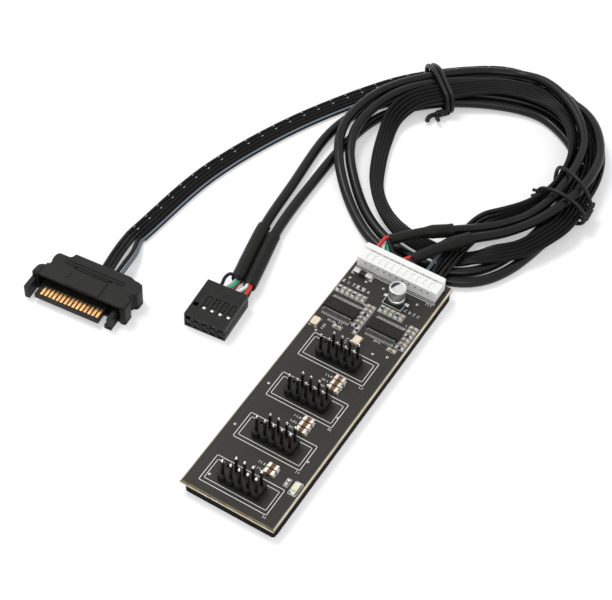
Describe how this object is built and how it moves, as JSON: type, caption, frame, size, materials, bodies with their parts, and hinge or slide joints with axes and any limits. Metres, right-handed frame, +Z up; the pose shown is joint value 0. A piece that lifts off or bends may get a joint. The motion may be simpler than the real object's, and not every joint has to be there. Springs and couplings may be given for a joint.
{
  "type": "internal usb header hub",
  "caption": "Bare circuit board hub on a foam pad that splits an internal header into several, with a tied bundle of signal cables and a power ribbon ending in their plugs.",
  "frame": {"origin": "on the surface that the foam pad rests on, under the middle of the circuit board", "axes": "+X across the board, +Y along the board towards the wire header, +Z up"},
  "size_m": [0.1231, 0.1909, 0.0129],
  "materials": {
    "foam": "matt closed-cell foam",
    "board": "dark grey solder mask with white print and bare edges",
    "header_plastic": "black moulded nylon",
    "pin_gold": "thin gold plate, square drawn wire",
    "connector_white": "natural white nylon",
    "contact_tin": "tinned",
    "chip_epoxy": "fine matt epoxy",
    "lead_tin": "tinned",
    "crystal_ceramic": "matt",
    "crystal_lid": "satin",
    "can_aluminium": "drawn aluminium with a dark print segment",
    "capacitor_ceramic": "matt tan",
    "chip_ceramic": "matt",
    "lamp_resin": "clear resin",
    "cable_jacket": "satin vinyl",
    "ribbon_vinyl": "satin vinyl, five wires side by side",
    "sleeve_vinyl": "shrunk tube",
    "wire_red": "vinyl",
    "wire_white": "vinyl",
    "wire_green": "vinyl",
    "wire_black": "vinyl",
    "wire_grey": "vinyl",
    "plug_black": "black moulded nylon",
    "tie_black": "coated wire"
  },
  "bodies": {
    "root": {"foam_pad": "foam", "circuit_board": "board", "header_1_base": "header_plastic", "header_1_pins": "pin_gold", "header_2_base": "header_plastic", "header_2_pins": "pin_gold", "header_3_base": "header_plastic", "header_3_pins": "pin_gold", "header_4_base": "header_plastic", "header_4_pins": "pin_gold", "wire_header": "connector_white", "wire_header_pins": "contact_tin", "wire_plug": "connector_white", "wire_plug_contacts": "contact_tin", "hub_chip_1": "chip_epoxy", "hub_chip_1_leads": "lead_tin", "hub_chip_2": "chip_epoxy", "hub_chip_2_leads": "lead_tin", "crystal_bases": "crystal_ceramic", "crystal_lids": "crystal_lid", "can_capacitor": "can_aluminium", "can_capacitor_base": "header_plastic", "can_capacitor_feet": "lead_tin", "input_fuse": "chip_epoxy", "input_fuse_ends": "lead_tin", "port_capacitors": "capacitor_ceramic", "port_capacitor_ends": "lead_tin", "small_chips": "chip_ceramic", "small_chip_ends": "lead_tin", "status_lamp": "lamp_resin", "status_lamp_ends": "lead_tin", "signal_cable_a": "cable_jacket", "signal_cable_b": "cable_jacket", "power_ribbon": "ribbon_vinyl", "header_sleeve_a": "sleeve_vinyl", "header_sleeve_b": "sleeve_vinyl", "plug_sleeve_a": "sleeve_vinyl", "plug_sleeve_b": "sleeve_vinyl", "signal_wires_red": "wire_red", "signal_wires_white": "wire_white", "signal_wires_green": "wire_green", "signal_wires_black": "wire_black", "power_wires_black": "wire_black", "power_wires_grey": "wire_grey", "signal_plug_housing": "plug_black", "signal_plug_contacts": "pin_gold", "power_plug_housing": "plug_black", "power_plug_cover": "plug_black", "power_plug_contacts": "pin_gold", "top_tie": "tie_black", "right_tie": "tie_black"}
  },
  "joints": []
}
